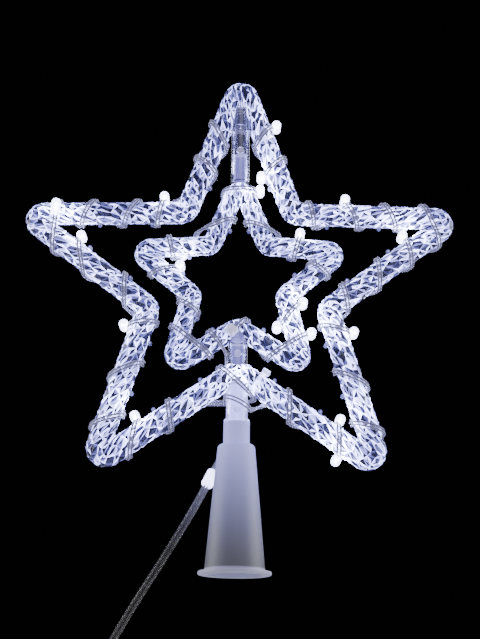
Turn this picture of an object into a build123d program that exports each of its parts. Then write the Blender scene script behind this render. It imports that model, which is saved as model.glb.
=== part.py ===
"""Tree topper star: two clear tube stars wound with a string of lights, on a white cone."""
import math
import os

from build123d import *

os.makedirs("parts", exist_ok=True)

# Common values
overrun = 1.0
slip_fit = 0.1
star_points = 5
quarter_turn = 90.0

# Base cone
cone_height = 65.0
cone_foot_radius = 15.1
cone_top_radius = 9.5
cone_wall = 1.6
shoulder_radius = 2.0
flange_radius = 18.3
flange_thickness = 1.8
flange_edge_radius = 0.6
neck_radius = 6.8
neck_length = 11.5
crown_thickness = 2.4

# Base plug, its sleeve and its pin
plug_radius = 4.0
plug_depth = 10.0
plug_chamfer = 0.5
spigot_radius = 3.4
spigot_length = 14.0
sleeve_radius = 5.6
sleeve_length = 21.0
rim_radius = 6.65
rim_thickness = 1.5
pin_radius = 1.85
base_pin_rise = 5.8

# Link tubes between the stars
link_radius = 5.1
link_bore_radius = 3.5
lower_link_rise = 7.1
lower_link_seat = 1.2
lower_pin_rise = 8.4
upper_link_drop = 20.5
upper_pin_drop = 27.1
apex_plug_clearance = 19.0
apex_plug_depth = 9.0
peg_radius = 3.15
peg_length = 11.0
peg_flange_radius = 4.2
peg_flange_thickness = 1.0
peg_insertion = 10.0
hub_plug_length = 10.5
hub_insertion = 9.0
collar_wall = 0.5
collar_height = 11.0

# Outer star tube
outer_tip_radius = 126.0
outer_notch_radius = 50.5
outer_tube_radius = 6.5
outer_wall = 1.5
outer_tip_bend = 4.0
outer_notch_bend = 5.0

# Inner star tube
inner_tip_radius = 60.3
inner_notch_radius = 26.2
inner_tube_radius = 5.6
inner_wall = 1.2
inner_tip_bend = 3.4
inner_notch_bend = 4.0

# Closing ears along the seam of each star
ear_radius = 1.05
ear_thickness = 1.2
ear_pin_radius = 0.45
outer_ear_shares = (0.47, 0.79)
inner_ear_shares = (0.71,)

# String of lights: places are an arm or upright and the share of its length from the tip or top
wire_radius = 1.1
wire_stand_off = 0.35
lead_in = 9.0
led_radius = 2.5
led_length = 9.0
led_end_radius = 1.6
led_bore_clearance = 0.06
chip_size = 1.2
chip_lift_share = 0.65
end_cap_radius = 3.0
end_cap_length = 5.0
end_cap_run = 2.5
end_cap_edge_radius = 1.2
left_turn_shares = (
    (5, 0.92), (4, 0.825), (5, 0.57), (5, 0.49), (5, 0.36), (5, 0.21),
    (6, 0.215), (6, 0.33), (6, 0.52), (6, 0.66), (6, 0.85), (6, 0.92),
    (7, 0.88), (7, 0.75), (7, 0.56), (7, 0.38), (7, 0.31),
    (8, 0.22), (8, 0.36), (8, 0.44), (8, 0.62), (8, 0.71), (8, 0.825), (8, 0.865),
    (9, 0.69), (9, 0.63), (9, 0.50), (9, 0.36), (0, 0.39),
)
right_turn_shares = (
    (9, 0.36), (0, 0.39), (0, 0.50), (0, 0.63), (0, 0.70),
    (1, 0.91), (1, 0.87), (1, 0.68), (1, 0.605), (1, 0.45), (1, 0.37), (1, 0.21),
    (2, 0.20), (2, 0.34), (2, 0.42), (2, 0.56), (2, 0.67), (2, 0.835), (2, 0.91),
    (3, 0.91), (3, 0.82), (3, 0.62), (3, 0.48), (3, 0.30), (3, 0.20),
    (4, 0.24), (4, 0.35), (4, 0.58), (4, 0.69), ("sleeve", 0.64), ("sleeve", 0.35),
)
inner_turn_shares = (
    ("link", 0.65), (5, 0.65), (5, 0.50), (6, 0.52), (6, 0.775), (6, 0.87),
    (7, 0.615), (7, 0.40), (8, 0.45), (8, 0.50), (8, 0.81),
    (9, 0.54), (9, 0.24), (0, 0.22), (0, 0.59), (1, 0.86), (1, 0.645), (1, 0.58),
    (2, 0.39), (2, 0.47), (3, 0.85), (3, 0.615), (3, 0.43), (4, 0.46), (4, 0.95), (5, 0.40),
)
left_led_edges = (4, 10, 15, 23)
left_led_crests = (1, 7, 13, 16, 25)
right_led_edges = (1, 4, 7, 13, 20, 25, 26)
right_led_crests = (10, 16, 22, 28)
inner_led_edges = (6, 13, 17, 20, 21, 22)
inner_led_crests = (9, 11)

# Lead, its coil and its connector
lead_radius = 2.05
lead_route = (
    (-10.3, 21.0, 106.7),
    (-10.8, 30.0, 98.5),
    (-10.5, 30.0, 86.0),
    (-9.5, 27.0, 74.0),
    (-8.5, 21.0, 62.0),
    (-20.5, 18.7, 37.0),
    (-37.0, 18.0, 8.6),
    (-49.8, 18.0, -12.0),
    (-60.0, 18.0, -30.0),
    (-68.0, 18.0, -46.0),
    (-68.0, 18.0, -62.0),
)
bend_run_share = 0.45
lead_light_run = 4
lead_led_radius = 3.2
lead_led_length = 10.0
lead_led_distance = 12.0
coil_mean_radius = 22.0
coil_layers = 4
coil_layer_turns = 1.875
coil_climb_turns = 0.5
coil_nodes_per_turn = 4
coil_slope_step = 0.01
coil_gap = 1.1
coil_tail = 12.0
strap_width = 5.0
strap_thickness = 1.2
strap_clearance = 0.6
connector_radius = 5.0
connector_length = 26.0
connector_edge_radius = 1.5
connector_nose_radius = 3.8
connector_nose_length = 6.0
connector_pin_radius = 0.8
connector_pin_length = 6.0
connector_pin_spacing = 3.6

# Heights, stacked from the cone's mouth upwards
neck_top_height = cone_height + neck_length
base_pin_height = neck_top_height + base_pin_rise
sleeve_top_height = neck_top_height + sleeve_length
lower_link_bottom_height = sleeve_top_height + lower_link_rise
lower_pin_height = lower_link_bottom_height + lower_pin_rise
star_height = lower_link_bottom_height - slip_fit + outer_notch_radius
lower_link_top_height = star_height - inner_notch_radius + lower_link_seat
upper_link_top_height = star_height + outer_tip_radius - upper_link_drop
upper_pin_height = upper_link_top_height - upper_pin_drop
apex_plug_top_height = upper_link_top_height - peg_insertion - apex_plug_clearance
up = Vector(0, 0, 1)
back = Vector(0, 1, 0)
star_centre = Vector(0, 0, star_height)


# The star outline: corner 0 is the apex, odd corners are notches, clockwise from the front
class Star:
    def __init__(self, tip_radius, notch_radius, tube_radius, wall, tip_bend, notch_bend):
        self.corner_count = 2 * star_points
        self.tip_radius = tip_radius
        self.notch_radius = notch_radius
        self.tube_radius = tube_radius
        self.wall = wall
        self.bends = (tip_bend, notch_bend)
        self.wire_reach = tube_radius + wire_stand_off + wire_radius

    def corner(self, index):
        angle = math.radians(quarter_turn - 180 / star_points * index)
        radius = self.notch_radius if index % 2 else self.tip_radius
        return star_centre + Vector(math.cos(angle), 0, math.sin(angle)) * radius

    # An arm as its tip, its direction towards the notch, its length and its outward normal
    def arm(self, index):
        tip = self.corner(index + index % 2)
        notch = self.corner(index + 1 - index % 2)
        along = (notch - tip).normalized()
        outward = along.cross(back).normalized()
        if outward.dot((tip + notch) / 2 - star_centre) < 0:
            outward = -outward
        return tip, along, (notch - tip).length, outward

    # A solid bar round the whole star, straight arms and rounded corners
    def bar(self, radius):
        with BuildPart() as tube:
            for index in range(self.corner_count):
                before = self.corner(index - 1)
                here = self.corner(index)
                after = self.corner(index + 1)
                bend = self.bends[index % 2]
                next_bend = self.bends[(index + 1) % 2]
                heading_in = (here - before).normalized()
                heading_out = (after - here).normalized()
                turn = heading_in.get_angle(heading_out)
                beyond = (self.corner(index + 2) - after).normalized()
                next_turn = heading_out.get_angle(beyond)
                trim = bend * math.tan(math.radians(turn / 2))
                next_trim = next_bend * math.tan(math.radians(next_turn / 2))
                start = here + heading_out * trim
                straight = (after - here).length - trim - next_trim
                with BuildSketch(Plane(start, x_dir=back, z_dir=heading_out)):
                    Circle(radius)
                extrude(amount=straight)
                axis_way = heading_in.cross(heading_out).normalized()
                to_centre = axis_way.cross(heading_in).normalized()
                centre = here - heading_in * trim + to_centre * bend
                with BuildSketch(Plane(centre, x_dir=-to_centre, z_dir=heading_in)):
                    with Locations((bend, 0)):
                        Circle(radius)
                    with Locations(((bend + radius) / 2, 0)):
                        Rectangle(bend + radius, 2 * radius, mode=Mode.INTERSECT)
                revolve(axis=Axis(centre, axis_way), revolution_arc=turn)
        return tube.part

    # The place of a seam ear on the inner edge of an arm
    def ear_place(self, index, share):
        tip, along, length, outward = self.arm(index)
        return tip + along * length * share - outward * (self.tube_radius + ear_radius / 2)


outer_star = Star(
    outer_tip_radius, outer_notch_radius, outer_tube_radius, outer_wall, outer_tip_bend, outer_notch_bend
)
inner_star = Star(
    inner_tip_radius, inner_notch_radius, inner_tube_radius, inner_wall, inner_tip_bend, inner_notch_bend
)


# An upright round bar between two heights
def upright(radius, bottom, top, mode=Mode.ADD):
    with Locations((0, 0, bottom)):
        Cylinder(radius, top - bottom, align=(Align.CENTER, Align.CENTER, Align.MIN), mode=mode)


# A round bar along the depth at a place, from one depth to another
def crosswise(place, radius, front, rear, mode=Mode.ADD):
    with BuildSketch(Plane(Vector(place.X, front, place.Z), z_dir=back)) as section:
        Circle(radius)
    extrude(section.sketch, amount=rear - front, mode=mode)


# Base cone: hollow, open below for the tree's tip, with a neck for the plug
with BuildPart() as base_cone:
    with BuildSketch(Plane.XZ) as cone_profile:
        with BuildLine():
            Polyline(
                (0, 0),
                (flange_radius, 0),
                (flange_radius, flange_thickness),
                (cone_foot_radius, flange_thickness),
                (cone_top_radius, cone_height),
                (neck_radius, cone_height),
                (neck_radius, neck_top_height),
                (0, neck_top_height),
                close=True,
            )
        make_face()
        shoulder = cone_profile.vertices().filter_by(lambda v: abs(v.X - cone_top_radius) < slip_fit)
        fillet(shoulder, shoulder_radius)
        rim_corners = cone_profile.vertices().filter_by(lambda v: abs(v.X - flange_radius) < slip_fit)
        fillet(rim_corners, flange_edge_radius)
    revolve(axis=Axis.Z)
    with BuildSketch(Plane.XZ):
        with BuildLine():
            Polyline(
                (0, -overrun),
                (cone_foot_radius - cone_wall, -overrun),
                (cone_foot_radius - cone_wall, 0),
                (cone_top_radius - cone_wall, cone_height - crown_thickness),
                (0, cone_height - crown_thickness),
                close=True,
            )
        make_face()
    revolve(axis=Axis.Z, mode=Mode.SUBTRACT)
    upright(plug_radius + slip_fit, 0, neck_top_height + overrun, Mode.SUBTRACT)

# Base plug: turned spigot that stands in the neck and in the lower link tube
plug_bottom_height = neck_top_height - plug_depth
with BuildPart() as base_plug:
    upright(plug_radius, plug_bottom_height, lower_link_bottom_height - slip_fit)
    upright(
        spigot_radius, lower_link_bottom_height - slip_fit, lower_link_bottom_height + spigot_length
    )
    bottom_edge = base_plug.edges().filter_by(GeomType.CIRCLE).sort_by(Axis.Z)[0]
    chamfer(bottom_edge, plug_chamfer)

# Base sleeve: clear collar with a rim that rests on the neck
with BuildPart() as base_sleeve:
    upright(sleeve_radius, neck_top_height, sleeve_top_height)
    upright(rim_radius, neck_top_height, neck_top_height + rim_thickness)
    upright(plug_radius + slip_fit, neck_top_height - overrun, sleeve_top_height + overrun, Mode.SUBTRACT)
    crosswise(
        Vector(0, 0, base_pin_height), pin_radius + slip_fit, -sleeve_radius - overrun, 0, Mode.SUBTRACT
    )

with BuildPart() as base_pin:
    crosswise(Vector(0, 0, base_pin_height), pin_radius, -sleeve_radius, -plug_radius - slip_fit)

# Lower link tube: joins the bottom notches of the two stars
with BuildPart() as lower_link_tube:
    upright(link_radius, lower_link_bottom_height, lower_link_top_height)
    upright(
        link_bore_radius,
        lower_link_bottom_height - overrun,
        lower_link_top_height + overrun,
        Mode.SUBTRACT,
    )
    crosswise(
        Vector(0, 0, lower_pin_height), pin_radius + slip_fit, -link_radius - overrun, 0, Mode.SUBTRACT
    )

hub_plug_bottom = lower_link_top_height - hub_insertion
with BuildPart() as hub_plug:
    upright(link_bore_radius - slip_fit, hub_plug_bottom, hub_plug_bottom + hub_plug_length)

# Upper link tube: stands on the inner apex and ends in the crotch of the outer apex
inner_apex_top = (
    inner_star.corner(0).Z
    - inner_tip_bend / math.sin(math.radians(inner_star.arm(0)[1].get_angle(-up)))
    + inner_tip_bend
    + inner_tube_radius
)
with BuildPart() as upper_link_tube:
    upright(link_radius, inner_apex_top, upper_link_top_height)
    upright(
        link_bore_radius, inner_apex_top - overrun, upper_link_top_height + overrun, Mode.SUBTRACT
    )
    crosswise(
        Vector(0, 0, upper_pin_height), pin_radius + slip_fit, -link_radius - overrun, 0, Mode.SUBTRACT
    )

apex_plug_bottom = inner_apex_top - apex_plug_depth
with BuildPart() as apex_plug:
    upright(link_bore_radius - slip_fit, apex_plug_bottom, apex_plug_top_height)

peg_top_height = upper_link_top_height + peg_flange_thickness + peg_length
with BuildPart() as upper_peg:
    upright(link_bore_radius - slip_fit, upper_link_top_height - peg_insertion, upper_link_top_height)
    upright(peg_flange_radius, upper_link_top_height, upper_link_top_height + peg_flange_thickness)
    upright(peg_radius, upper_link_top_height + peg_flange_thickness, peg_top_height)

with BuildPart() as link_pins:
    for pin_height in (lower_pin_height, upper_pin_height):
        crosswise(Vector(0, 0, pin_height), pin_radius, -link_radius, -link_bore_radius)


# Both half shells of a star, cut for what passes through them
def star_shells(star, ear_shares, drillings, collar=None):
    with BuildPart() as whole:
        add(star.bar(star.tube_radius))
        if collar:
            upright(*collar)
        add(star.bar(star.tube_radius - star.wall), mode=Mode.SUBTRACT)
        for share in ear_shares:
            for index in range(star.corner_count):
                place = star.ear_place(index, share)
                crosswise(place, ear_radius, -ear_thickness, ear_thickness)
        for share in ear_shares:
            for index in range(star.corner_count):
                place = star.ear_place(index, share)
                hole_reach = ear_thickness + overrun
                crosswise(place, ear_pin_radius + slip_fit, -hole_reach, hole_reach, Mode.SUBTRACT)
        for radius, bottom, top in drillings:
            upright(radius + slip_fit, bottom, top, Mode.SUBTRACT)
    with BuildPart() as front_half:
        add(whole.part)
        split(bisect_by=Plane.XZ, keep=Keep.TOP)
    with BuildPart() as rear_half:
        add(whole.part)
        split(bisect_by=Plane.XZ, keep=Keep.BOTTOM)
    return front_half.part, rear_half.part


outer_drillings = (
    (sleeve_radius, neck_top_height, sleeve_top_height + slip_fit),
    (plug_radius, neck_top_height, lower_link_bottom_height),
    (link_radius, lower_link_bottom_height - slip_fit, lower_link_top_height),
    (link_radius, inner_apex_top, upper_link_top_height + peg_flange_thickness + slip_fit),
    (peg_radius, upper_link_top_height, peg_top_height + slip_fit),
)
inner_drillings = (
    (link_radius, lower_link_bottom_height, lower_link_top_height + slip_fit),
    (link_bore_radius, lower_link_top_height, hub_plug_bottom + hub_plug_length + slip_fit),
    (link_bore_radius, apex_plug_bottom - slip_fit, upper_link_top_height),
    (link_radius, inner_apex_top - slip_fit, upper_link_top_height),
)
collar_radius = link_radius + slip_fit + collar_wall
inner_collar = (collar_radius, lower_link_top_height - collar_height, lower_link_top_height)
outer_front_shell, outer_rear_shell = star_shells(outer_star, outer_ear_shares, outer_drillings)
inner_front_shell, inner_rear_shell = star_shells(
    inner_star, inner_ear_shares, inner_drillings, inner_collar
)

with BuildPart() as ear_pins:
    for star, ear_shares in ((outer_star, outer_ear_shares), (inner_star, inner_ear_shares)):
        for share in ear_shares:
            for index in range(star.corner_count):
                crosswise(star.ear_place(index, share), ear_pin_radius, -ear_thickness, ear_thickness)


# A bar that the string goes round, as its start, direction, length, outward normal and wire reach
def bar_of(star, name):
    if name == "sleeve":
        reach = sleeve_radius + wire_stand_off + wire_radius
        return Vector(0, 0, sleeve_top_height), -up, sleeve_length, Vector(1, 0, 0), reach
    if name == "link":
        reach = link_radius + wire_stand_off + wire_radius
        link_length = lower_link_top_height - lower_link_bottom_height
        return Vector(0, 0, lower_link_top_height), -up, link_length, Vector(-1, 0, 0), reach
    return *star.arm(name), star.wire_reach


def share_tip(star, first, second):
    if isinstance(first, str) or isinstance(second, str):
        return False
    return (star.arm(first)[0] - star.arm(second)[0]).length < slip_fit


# Where the line between two edge points passes over the axis of a bar
def crossing(start, end, bar):
    origin, along, length, outward, reach = bar
    way = end - start
    depth_start = (start - origin).dot(outward)
    depth_end = (end - origin).dot(outward)
    if depth_start * depth_end >= 0:
        return None
    point = start + way * (depth_start / (depth_start - depth_end))
    return point if 0 <= (point - origin).dot(along) <= length else None


# A winding of the string: its edge points and crests, with the direction of travel at each
class Winding:
    def __init__(self, star, places, first_side, first_outer):
        self.edges = []
        self.crests = []
        self.nodes = []
        bars = [bar_of(star, name) for name in [*range(star.corner_count), "sleeve", "link"]]
        points = []
        outer = first_outer
        previous = places[0][0]
        for name, share in places:
            origin, along, length, outward, reach = bar_of(star, name)
            over_tip = name != previous and share_tip(star, name, previous)
            if points and not over_tip:
                outer = not outer
            lift = outward if outer else -outward
            points.append((origin + along * length * share + lift * reach, lift))
            previous = name
        side = first_side
        for (start, lift), (end, _) in zip(points, points[1:]):
            self.edges.append((start, back * side, lift))
            self.nodes.append((start, back * side))
            way = (end - start).normalized()
            found = [point for point in (crossing(start, end, bar) for bar in bars) if point]
            found.sort(key=lambda point: (point - start).length)
            over = [point + back * (side * star.wire_reach) for point in found]
            for crest in over[:1] + over[1:][-1:]:
                self.nodes.append((crest, way))
            self.crests.append((over[-1], way, back * side))
            side = -side
        self.edges.append((points[-1][0], back * side, points[-1][1]))
        self.nodes.append((points[-1][0], back * side))


# Two tangent arcs from one point and direction to another, or a straight run where they line up
def join(start, start_way, end, end_way):
    chord = end - start
    if chord.length < slip_fit:
        return
    if chord.normalized().dot(start_way) > 1 - 1e-9 and start_way.dot(end_way) > 1 - 1e-9:
        Line(start, end)
        return
    ways = start_way + end_way
    spread = 1 - start_way.dot(end_way)
    reach = (math.sqrt(chord.dot(ways) ** 2 + 2 * spread * chord.dot(chord)) - chord.dot(ways)) / (2 * spread)
    first = start + start_way * reach
    last = end - end_way * reach
    middle = (first + last) / 2
    TangentArc(start, middle, tangent=start_way)
    TangentArc(middle, end, tangent=(last - first).normalized())


# The whole path of one wire through its nodes
def wire_path(nodes):
    with BuildLine() as path:
        for (start, start_way), (end, end_way) in zip(nodes, nodes[1:]):
            join(start, start_way, end, end_way)
    return path.wire()


# The least gap of a tube to itself, measured on points along it
def least_gap(path, radius):
    step = radius
    count = int(path.length / step)
    points = [path.position_at(index / count) for index in range(count + 1)]
    apart = int(math.pi * 2 * radius / step) + 1
    gaps = [
        (points[first] - points[second]).length
        for first in range(len(points))
        for second in range(first + apart, len(points))
    ]
    return min(gaps) - 2 * radius


def tube(path, radius, name):
    with BuildPart() as swept:
        with BuildSketch(Plane(path.position_at(0), z_dir=path.tangent_at(0))) as section:
            Circle(radius)
        sweep(section.sketch, path=path)
    gap = least_gap(path, radius)
    ideal = math.pi * radius**2 * path.length
    print(f"{name} length {path.length:.1f} volume share {swept.part.volume / ideal:.4f} gap {gap:.2f}")
    return swept.part


# The nodes of the three windings
left_winding = Winding(outer_star, left_turn_shares, -1, False)
right_winding = Winding(outer_star, right_turn_shares, 1, True)
inner_winding = Winding(inner_star, inner_turn_shares, -1, True)


def left_nodes():
    nodes = left_winding.nodes
    start, way = nodes[0]
    half_way = (nodes[-3][0] + nodes[-2][0]) / 2
    return [(start - way * lead_in, way), *nodes[:-2], (half_way, nodes[-3][1])]


def inner_nodes():
    nodes = inner_winding.nodes
    start, way = nodes[0]
    last_crest, last_way = nodes[-2]
    finish = (last_crest + last_way * end_cap_run, last_way)
    return [(start - way * (lead_in - 2 * wire_radius), way), *nodes[:-1], finish]


def right_nodes():
    nodes = right_winding.nodes
    half_way = (nodes[1][0] + nodes[2][0]) / 2
    leaving, away = nodes[-1]
    arriving, towards = inner_nodes()[0]
    turn_start = leaving + away * lead_in
    turn_end = arriving - towards * (2 * wire_radius)
    loop_top = (turn_start + turn_end) / 2 + back * ((turn_end - turn_start).length / 2)
    loop = [(turn_start, away), (loop_top, up), (turn_end, towards), (arriving, towards)]
    return [(half_way, nodes[1][1]), *nodes[2:], *loop]


wires = {}
bores = {}
for name, nodes in (("left", left_nodes()), ("right", right_nodes()), ("inner", inner_nodes())):
    path = wire_path(nodes)
    wires[name] = tube(path, wire_radius, f"{name}_wire")
    bores[name] = tube(path, wire_radius + led_bore_clearance, f"{name} bore")

# End cap that closes the string, in front of the inner bottom notch
cap_start, cap_way = inner_nodes()[-1]
cap_depth = inner_tube_radius + wire_stand_off + end_cap_radius
with BuildPart() as string_end_cap:
    with BuildSketch(Plane(Vector(cap_start.X, -cap_depth, cap_start.Z), z_dir=cap_way)) as cap_section:
        Circle(end_cap_radius)
    extrude(cap_section.sketch, amount=end_cap_length)
    far_edge = string_end_cap.edges().filter_by(GeomType.CIRCLE).sort_by(Axis.Z)[0]
    fillet(far_edge, end_cap_edge_radius)

# Light caps moulded over the wire, each with a chip inside
windings = {
    "left": (left_winding, left_led_edges, left_led_crests),
    "right": (right_winding, right_led_edges, right_led_crests),
    "inner": (inner_winding, inner_led_edges, inner_led_crests),
}
led_caps = {}
chip_places = []


def round_cap(centre, way, radius, length, end_radius):
    with BuildPart() as cap:
        with BuildSketch(Plane(centre - way * (length / 2), z_dir=way)) as section:
            Circle(radius)
        extrude(section.sketch, amount=length)
        fillet(cap.edges().filter_by(GeomType.CIRCLE), end_radius)
    return cap.part


for winding_name, (winding, edge_picks, crest_picks) in windings.items():
    seats = [winding.edges[pick] for pick in edge_picks] + [winding.crests[pick] for pick in crest_picks]
    for point, way, lift in seats:
        centre = point + lift * (led_radius - wire_radius)
        chip_plane = Plane(centre + lift * chip_size * chip_lift_share, x_dir=way, z_dir=lift)
        with BuildPart() as led_cap:
            add(round_cap(centre, way, led_radius, led_length, led_end_radius))
            add(bores[winding_name], mode=Mode.SUBTRACT)
            with Locations(chip_plane):
                Box(*[chip_size + slip_fit] * 3, mode=Mode.SUBTRACT)
        led_caps[f"{winding_name}_light_{len(led_caps) + 1:02d}"] = led_cap.part
        chip_places.append(chip_plane)

with BuildPart() as light_chips:
    with Locations(*chip_places):
        Box(chip_size, chip_size, chip_size)

# Lead: a tube from the bottom notch down behind the cone, then away to the left
lead_start = left_nodes()[0][0]
route = [lead_start] + [Vector(*point) for point in lead_route]
runs = [after - before for before, after in zip(route, route[1:])]
bend_radii = [
    bend_run_share * min(first.length, second.length) / math.tan(math.radians(first.get_angle(second) / 2))
    for first, second in zip(runs, runs[1:])
]
print("lead radii", [round(radius, 1) for radius in bend_radii])
with BuildLine() as lead_line:
    FilletPolyline(*route, radius=bend_radii)
lead_path = lead_line.wire()
lead_cable = tube(lead_path, lead_radius, "lead_cable")

# Light on the lead, moulded round it just behind the cone
lead_light_corner = Vector(*lead_route[lead_light_run])
lead_light_way = (Vector(*lead_route[lead_light_run + 1]) - lead_light_corner).normalized()
lead_light_centre = lead_light_corner + lead_light_way * lead_led_distance
with BuildPart() as lead_light:
    add(round_cap(lead_light_centre, lead_light_way, lead_led_radius, lead_led_length, led_end_radius))
    with BuildSketch(Plane(lead_light_centre, z_dir=lead_light_way)) as lead_bore:
        Circle(lead_radius + led_bore_clearance)
    extrude(lead_bore.sketch, amount=lead_led_length, both=True, mode=Mode.SUBTRACT)

# Coil of the spare lead: it spirals in and out again, a layer at a time
coil_pitch = 2 * lead_radius + coil_gap
coil_swing = coil_pitch * coil_layer_turns
coil_outer_radius = coil_mean_radius + coil_swing / 2
coil_start = route[-1] - up * (2 * lead_radius)
coil_centre = coil_start + Vector(coil_outer_radius, 0, 0)
coil_turns = coil_layers * coil_layer_turns + (coil_layers - 1) * coil_climb_turns


def coil_point(turns):
    layer_period = coil_layer_turns + coil_climb_turns
    layer = min(int(turns / layer_period), coil_layers - 1)
    within = turns - layer * layer_period
    swing = coil_pitch * min(within, coil_layer_turns)
    climb = max(0, within - coil_layer_turns) / coil_climb_turns
    radius = coil_outer_radius - (coil_swing - swing if layer % 2 else swing)
    angle = math.pi + 2 * math.pi * turns
    around = Vector(math.cos(angle), 0, math.sin(angle))
    return coil_centre + around * radius + back * coil_pitch * (layer + climb)


coil_steps = round(coil_turns * coil_nodes_per_turn)
coil_nodes = [(route[-1], -up), (coil_start, -up)]
for step in range(1, coil_steps):
    turns = step / coil_nodes_per_turn
    before = coil_point(turns - coil_slope_step)
    after = coil_point(turns + coil_slope_step)
    coil_nodes.append((coil_point(turns), (after - before).normalized()))
coil_end = coil_point(coil_turns)
coil_nodes += [(coil_end, -up), (coil_end - up * coil_tail, -up)]
coil_path = wire_path(coil_nodes)
lead_coil = tube(coil_path, lead_radius, "lead_coil")
print("lead length in all", round(lead_path.length + coil_path.length))

# Strap that ties the coil at its lowest point
bundle_depth = coil_pitch * (coil_layers - 1) + 2 * lead_radius + 2 * strap_clearance
bundle_height = coil_swing + 2 * lead_radius + 2 * strap_clearance
bundle_centre = coil_centre + back * coil_pitch * (coil_layers - 1) / 2 - up * coil_mean_radius
with BuildPart() as coil_strap:
    with Locations(bundle_centre):
        Box(strap_width, bundle_depth + 2 * strap_thickness, bundle_height + 2 * strap_thickness)
        Box(strap_width + overrun, bundle_depth, bundle_height, mode=Mode.SUBTRACT)
    fillet(coil_strap.edges().filter_by(Axis.X).group_by(SortBy.LENGTH)[0], strap_thickness / 2)

# Connector on the far end of the lead: a moulded body and two pins
connector_top = coil_nodes[-1][0]
with BuildPart() as connector_body:
    with BuildSketch(Plane(connector_top, z_dir=-up)) as body_section:
        Circle(connector_radius)
    extrude(body_section.sketch, amount=connector_length)
    fillet(connector_body.edges().filter_by(GeomType.CIRCLE), connector_edge_radius)
    with BuildSketch(Plane(connector_top - up * connector_length, z_dir=-up)) as nose_section:
        Circle(connector_nose_radius)
    extrude(nose_section.sketch, amount=connector_nose_length)

with BuildPart() as connector_pins:
    pin_base = connector_top - up * (connector_length + connector_nose_length)
    with BuildSketch(Plane(pin_base, z_dir=-up)) as pin_section:
        with GridLocations(connector_pin_spacing, 0, 2, 1):
            Circle(connector_pin_radius)
    extrude(pin_section.sketch, amount=connector_pin_length)


def keep(part, name):
    part.label = name
    export_step(part, f"parts/{name}.step")


keep(base_cone.part, "base_cone")
keep(base_plug.part, "base_plug")
keep(base_sleeve.part, "base_sleeve")
keep(base_pin.part, "base_pin")
keep(lower_link_tube.part, "lower_link_tube")
keep(hub_plug.part, "hub_plug")
keep(upper_link_tube.part, "upper_link_tube")
keep(apex_plug.part, "apex_plug")
keep(upper_peg.part, "upper_peg")
keep(link_pins.part, "link_pins")
keep(outer_front_shell, "outer_front_shell")
keep(outer_rear_shell, "outer_rear_shell")
keep(inner_front_shell, "inner_front_shell")
keep(inner_rear_shell, "inner_rear_shell")
keep(ear_pins.part, "ear_pins")
keep(string_end_cap.part, "string_end_cap")
for name, wire in wires.items():
    keep(wire, f"{name}_wire")
for name, cap in led_caps.items():
    keep(cap, name)
keep(light_chips.part, "light_chips")
keep(lead_cable, "lead_cable")
keep(lead_light.part, "lead_light")
keep(lead_coil, "lead_coil")
keep(coil_strap.part, "coil_strap")
keep(connector_body.part, "connector_body")
keep(connector_pins.part, "connector_pins")
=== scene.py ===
import math
import random

import bmesh
import bpy
from mathutils import Matrix, Vector


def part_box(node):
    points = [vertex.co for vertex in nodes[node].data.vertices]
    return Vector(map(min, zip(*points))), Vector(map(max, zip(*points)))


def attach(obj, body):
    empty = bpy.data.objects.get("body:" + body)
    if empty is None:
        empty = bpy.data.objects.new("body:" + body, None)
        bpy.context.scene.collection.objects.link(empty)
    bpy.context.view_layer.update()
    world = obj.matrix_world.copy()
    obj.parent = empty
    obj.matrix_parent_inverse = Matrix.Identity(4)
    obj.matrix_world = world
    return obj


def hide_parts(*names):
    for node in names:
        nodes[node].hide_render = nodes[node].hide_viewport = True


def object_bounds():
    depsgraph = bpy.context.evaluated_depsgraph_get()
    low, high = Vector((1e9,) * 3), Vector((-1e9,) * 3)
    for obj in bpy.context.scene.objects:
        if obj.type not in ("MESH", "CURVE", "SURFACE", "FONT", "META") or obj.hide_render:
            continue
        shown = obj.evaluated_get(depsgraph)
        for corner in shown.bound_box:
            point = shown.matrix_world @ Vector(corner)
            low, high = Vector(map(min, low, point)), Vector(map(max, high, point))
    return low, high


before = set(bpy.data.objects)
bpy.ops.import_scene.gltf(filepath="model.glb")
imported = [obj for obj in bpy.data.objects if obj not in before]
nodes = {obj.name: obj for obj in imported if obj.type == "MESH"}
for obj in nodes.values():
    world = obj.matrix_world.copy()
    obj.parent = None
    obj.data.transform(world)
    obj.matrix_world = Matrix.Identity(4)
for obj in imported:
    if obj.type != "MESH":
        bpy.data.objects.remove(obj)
cad_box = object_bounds()


# Base cone: the white moulded foot that slips over the tip of the tree.
# It is thin glossy styrene; the lights above brightening its upper end are painted in, as colour
# and glow.
# The flange at its mouth rests on the topmost branches.
class Signal:
    """A shader socket that adds a Math node for each operator used on it."""

    def __init__(self, finish, socket):
        self.finish = finish
        self.socket = socket

    def maths(self, operation, first, second):
        return self.finish.node("ShaderNodeMath", {"operation": operation}, {0: first, 1: second})

    def __add__(self, other):
        return self.maths("ADD", self, other)

    __radd__ = __add__

    def __sub__(self, other):
        return self.maths("SUBTRACT", self, other)

    def __rsub__(self, other):
        return self.maths("SUBTRACT", other, self)

    def __mul__(self, other):
        return self.maths("MULTIPLY", self, other)

    __rmul__ = __mul__

    def __truediv__(self, other):
        return self.maths("DIVIDE", self, other)

    def clamped(self):
        low = self.maths("MAXIMUM", self, 0.0)
        return low.maths("MINIMUM", low, 1.0)


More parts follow.
